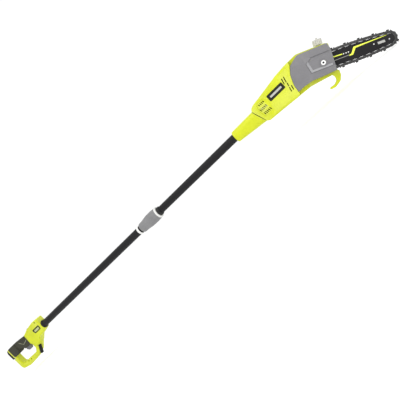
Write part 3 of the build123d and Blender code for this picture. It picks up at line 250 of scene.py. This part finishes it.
MM = 0.001
SPROCKET_X = 1853.0
BEAM = math.radians(26.0)
BAR_FACE = -25.95          # outer face of the guide bar, mm
HEAD_LABEL_FACE = -36.4
HANDLE_LABEL_FACE = -20.9
COLLECTION = bpy.context.collection


def rounded(points, steps=5):
    """Corner points (a, b, radius) turned into a list of (a, b) with round corners."""
    out = []
    count = len(points)
    for i, (a, b, r) in enumerate(points):
        here = Vector((a, b))
        before = Vector(points[i - 1][:2]) - here
        after = Vector(points[(i + 1) % count][:2]) - here
        if r <= 0:
            out.append((a, b))
            continue
        half = before.angle(after) / 2
        cut = min(r / math.tan(half), before.length * 0.49, after.length * 0.49)
        start, end = here + before.normalized() * cut, here + after.normalized() * cut
        for k in range(steps + 1):
            t = k / steps
            out.append(tuple(start * (1 - t) ** 2 + here * 2 * t * (1 - t) + end * t ** 2))
    return out


def add_mesh(name, bm, mat, body, bevel=0.0, segments=2, smooth=True):
    """Object from a bmesh in metres, riding on a body."""
    bmesh.ops.recalc_face_normals(bm, faces=bm.faces)
    mesh = bpy.data.meshes.new(name)
    bm.to_mesh(mesh)
    bm.free()
    obj = bpy.data.objects.new(name, mesh)
    COLLECTION.objects.link(obj)
    mesh.materials.append(mat)
    if smooth:
        for face in mesh.polygons:
            face.use_smooth = True
        mesh.set_sharp_from_angle(angle=math.radians(35))
    if bevel:
        mod = obj.modifiers.new("bevel", "BEVEL")
        mod.width = bevel * MM
        mod.segments = segments
        mod.limit_method = "ANGLE"
        mod.angle_limit = math.radians(30)
    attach(obj, body)
    return obj


def plate(name, points, low, high, mat, body, bevel=0.0, place=None):
    """Flat plate: an outline in X and Z (mm), from one Y to another; place maps (a, b) to (x, z)."""
    bm = bmesh.new()
    ring = [place(a, b) if place else (a, b) for a, b in points]
    near = [bm.verts.new((x * MM, low * MM, z * MM)) for x, z in ring]
    far = [bm.verts.new((x * MM, high * MM, z * MM)) for x, z in ring]
    bm.faces.new(near)
    bm.faces.new(far[::-1])
    for i in range(len(ring)):
        j = (i + 1) % len(ring)
        bm.faces.new((near[j], near[i], far[i], far[j]))
    return add_mesh(name, bm, mat, body, bevel)


def on_bar(s, n):
    """X and Z of a point s along the guide bar's axis and n above it, in mm."""
    return (SPROCKET_X + s * math.cos(BEAM) + n * math.sin(BEAM), -s * math.sin(BEAM) + n * math.cos(BEAM))


def disc(a, b, r, count=28):
    return [(a + r * math.cos(2 * math.pi * k / count), b + r * math.sin(2 * math.pi * k / count))
            for k in range(count)]


def printed(name, points, face, mat, body, place=None, thick=0.09):
    """Thin printed area on a face that looks to -Y."""
    return plate(name, points, face - thick, face + 0.02, mat, body, place=place)


PRINT_PALE = plastic("print_pale", (0.66, 0.66, 0.62), 0.35, grain=500.0, depth=0.00001, wear=0.0)
PRINT_LIME = plastic("print_lime", (0.72, 0.80, 0.05), 0.35, grain=500.0, depth=0.00001, wear=0.0)
PRINT_GREY = plastic("print_grey", (0.22, 0.22, 0.20), 0.4, grain=500.0, depth=0.00001, wear=0.0)
PRINT_OLIVE = plastic("print_olive", (0.36, 0.40, 0.10), 0.4, grain=500.0, depth=0.00001, wear=0.0)
PRINT_SOFT = plastic("print_soft", (0.36, 0.36, 0.34), 0.4, grain=500.0, depth=0.00001, wear=0.0)
# a lighter copy of the cover's grey plastic: painted highlight for the sloped ledge
COVER_PAINTED_HIGHLIGHT = plastic("cover_painted_highlight", (0.24, 0.24, 0.25), 0.38)
# near-black stand-in for the shade inside the bolt's hex socket: painted shade
SOCKET_PAINTED_SHADE = plastic("socket_painted_shade", (0.004, 0.004, 0.004), 0.6, wear=0.0)
ACCENT = plastic("accent_rubber", (0.30, 0.31, 0.20), 0.5)

# bar graphics: lines, dots and a stepped band, with no lettering
BAR_MARKS = [
    ("bar_line_upper", [(74, 4.3), (110, 3.2), (110, 6.0), (74, 7.4)], PRINT_LIME),
    ("bar_line_lower", [(74, -6.6), (129, -5.2), (129, -3.6), (74, -4.9)], PRINT_GREY),
    ("bar_step", [(127, -7.2), (137.5, -7.2), (148, 8.5), (232, 12.2), (232, 13.1), (143, 13.1),
                  (133.5, -3.2), (127, -3.2)], PRINT_LIME),
    ("bar_band", [(207, -4.0), (226, -4.0), (224.6, 2.6), (205.6, 2.6)], PRINT_SOFT),
]
for name, points, mat in BAR_MARKS:
    printed(name, points, BAR_FACE, mat, "head", place=on_bar)
for k, (s, n) in enumerate(((113.5, 4.2), (120.5, 4.2), (127.0, 4.2), (196.0, 0.8))):
    printed(f"bar_dot_{k}", disc(s, n, 1.7), BAR_FACE, PRINT_PALE, "head", place=on_bar)

# labels: one soft bar on each, with no letters
printed("head_mark", rounded([(1726, 9.5, 2.2), (1771, 9.5, 2.2), (1771, 16, 2.2), (1726, 16, 2.2)]),
        HEAD_LABEL_FACE, PRINT_SOFT, "head")
printed("handle_mark", rounded([(246, -0.5, 3), (283, -0.5, 3), (286, 10.5, 3), (248, 10.5, 3)]),
        HANDLE_LABEL_FACE, PRINT_OLIVE, "handle")
printed("handle_mark_bar", rounded([(251, 3.2, 1.4), (278, 3.2, 1.4), (279, 6.6, 1.4), (252, 6.6, 1.4)]),
        HANDLE_LABEL_FACE - 0.09, PRINT_SOFT, "handle")


# ---------------------------------------------------------------- grip accent, cover ledges, bolt
def strip_line(points, width):
    """Closed outline of a bent strip of constant width along (a, b) points."""
    sides = ([], [])
    for i, point in enumerate(points):
        here = Vector(point)
        back = (here - Vector(points[i - 1])).normalized() if i else None
        ahead = (Vector(points[i + 1]) - here).normalized() if i + 1 < len(points) else None
        along = (back or ahead) + (ahead or back)
        normal = Vector((-along.y, along.x)).normalized()
        reach = width / 2 / max(0.3, normal.dot(Vector((-(ahead or back).y, (ahead or back).x))))
        sides[0].append(tuple(here + normal * reach))
        sides[1].append(tuple(here - normal * reach))
    return sides[0] + sides[1][::-1]


GRIP_FACE = -15.5
plate("grip_accent", strip_line([(108, 19), (127, -2.5), (160, 5)], 1.7), GRIP_FACE - 0.25, GRIP_FACE + 0.2,
      ACCENT, "handle", bevel=0.1)

COVER_FACE = -38.0
RECESS_FLOOR = -35.4


def ramp_piece(name, outer, inner, mat):
    """Sloped ledge from the cover's face, along the outer line, down to the recess floor."""
    bm = bmesh.new()
    top = [bm.verts.new((x * MM, (COVER_FACE + 0.12) * MM, z * MM)) for x, z in outer]
    foot = [bm.verts.new((x * MM, (RECESS_FLOOR + 0.1) * MM, z * MM)) for x, z in outer]
    toe = [bm.verts.new((x * MM, (RECESS_FLOOR - 0.25) * MM, z * MM)) for x, z in inner]
    heel = [bm.verts.new((x * MM, (RECESS_FLOOR + 0.1) * MM, z * MM)) for x, z in inner]
    for i in range(len(outer) - 1):
        for a, b in ((top, toe), (toe, heel), (heel, foot), (foot, top)):
            bm.faces.new((a[i], a[i + 1], b[i + 1], b[i]))
    for i in (0, len(outer) - 1):
        bm.faces.new((top[i], toe[i], heel[i], foot[i]))
    return add_mesh(name, bm, mat, "head", bevel=0.15)


# the sloped ledge takes the lighter cover grey: a painted highlight on the cover plastic
ramp_piece("cover_ledge", [(1865.2, 8.3), (1859.8, -22.3), (1917.5, -48.2)],
           [(1872.5, 9.2), (1867.2, -18.6), (1920.0, -42.6)], COVER_PAINTED_HIGHLIGHT)

BOLT_X, BOLT_Z = on_bar(54.5, 0)


def ring(name, x, z, outer_r, inner_r, low, high, mat, body, slot, count=48):
    """Flat ring on a Y axis, in mm."""
    bm = bmesh.new()
    loops = []
    for r, y in ((outer_r, high), (outer_r, low + 0.4), (outer_r - 0.4, low), (inner_r + 0.3, low),
                 (inner_r, low + 0.3), (inner_r, high)):
        loops.append([bm.verts.new((p * MM, y * MM, q * MM)) for p, q in disc(x, z, r, count)])
    for k, here in enumerate(loops):
        there = loops[(k + 1) % len(loops)]
        for i in range(count):
            j = (i + 1) % count
            bm.faces.new((here[i], here[j], there[j], there[i]))
    return add_mesh(name, bm, mat, body)


ring("bolt_washer", BOLT_X, BOLT_Z, 9.4, 7.25, RECESS_FLOOR - 0.7, RECESS_FLOOR + 0.02,
     MATERIALS["bolt_steel"], "head", "bolt_steel")
# black hex plate in the bolt's head: painted shade for the inside of its socket
plate("bolt_socket_painted_shade", disc(BOLT_X, BOLT_Z, 3.3, 6), -38.1, -35.0, SOCKET_PAINTED_SHADE, "head")

# ---------------------------------------------------------------- springs in place of the CAD springs, at rest length
def coil(name, x, radius, wire, low, high, turns):
    """Compression spring on a Z axis, in mm, that stands for the CAD node of the same first name."""
    per_turn, around = 24, 8
    steps = turns * per_turn
    bm = bmesh.new()
    rings = []
    for k in range(steps + 1):
        turn = 2 * math.pi * k / per_turn
        height = low + wire + (high - low - 2 * wire) * k / steps
        section = []
        for i in range(around):
            angle = 2 * math.pi * i / around
            out = radius + wire * math.cos(angle)
            section.append(bm.verts.new(((x + out * math.cos(turn)) * MM, out * math.sin(turn) * MM,
                                         (height + wire * math.sin(angle)) * MM)))
        rings.append(section)
    for here, there in zip(rings, rings[1:]):
        for i in range(around):
            j = (i + 1) % around
            bm.faces.new((here[i], here[j], there[j], there[i]))
    bm.faces.new(rings[0])
    bm.faces.new(rings[-1][::-1])
    obj = add_mesh(f"{name}_coil", bm, MATERIALS["spring_steel"], "handle")
    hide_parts(name)
    return obj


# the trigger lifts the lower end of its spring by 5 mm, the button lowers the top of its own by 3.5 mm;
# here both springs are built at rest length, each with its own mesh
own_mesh(coil("trigger_spring", 128, 2.6, 0.4, -17.5, 0, 6))
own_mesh(coil("lock_off_spring", 203, 3.2, 0.4, 16.3, 24.8, 5))

# ---------------------------------------------------------------- floor, lights, camera
bpy.context.scene.view_settings.view_transform = "Standard"
world = bpy.data.worlds.new("studio")
world.use_nodes = True
world.node_tree.nodes["Background"].inputs["Color"].default_value = (1, 1, 1, 1)
world.node_tree.nodes["Background"].inputs["Strength"].default_value = 1.06
bpy.context.scene.world = world

floor_mesh = bpy.data.meshes.new("floor")
floor_z = cad_box[0][2] - 0.002
half = 60.0
floor_mesh.from_pydata([(-half, -half, floor_z), (half, -half, floor_z), (half, half, floor_z),
                        (-half, half, floor_z)], [], [(0, 1, 2, 3)])
floor = bpy.data.objects.new("floor", floor_mesh)
bpy.context.collection.objects.link(floor)
floor_mat, _, _ = shader("floor_white", (0.97, 0.97, 0.97), 0.9)
floor_mesh.materials.append(floor_mat)


def area_light(name, place, target, size, power, color=(1, 1, 1)):
    data = bpy.data.lights.new(name, "AREA")
    data.size = size
    data.energy = power
    data.color = color
    light = bpy.data.objects.new(name, data)
    light.location = place
    light.rotation_euler = (Vector(target) - Vector(place)).to_track_quat("-Z", "Y").to_euler()
    bpy.context.collection.objects.link(light)


area_light("key", (1.2, -1.6, 2.2), (1.0, 0, 0), 2.2, 30)
area_light("front", (2.6, -2.2, 0.7), (1.7, 0, 0), 1.6, 14)
area_light("back", (0.6, 2.2, 1.8), (1.0, 0, 0), 2.2, 12)

camera_data = bpy.data.cameras.new("camera")
camera_data.lens = 36.0
camera_data.sensor_width = 36.0
camera_data.clip_start = 0.05
camera = bpy.data.objects.new("camera", camera_data)
bpy.context.collection.objects.link(camera)
forward = Vector((-0.40066751, 0.91482028, -0.0506892)).normalized()
right = Vector((0.66975554, 0.25468556, -0.69754052)).normalized()
up = right.cross(forward).normalized()
camera.matrix_world = Matrix((
    (right.x, up.x, -forward.x, 1.87756),
    (right.y, up.y, -forward.y, -1.32529),
    (right.z, up.z, -forward.z, 0.0),
    (0, 0, 0, 1)))
bpy.context.scene.camera = camera
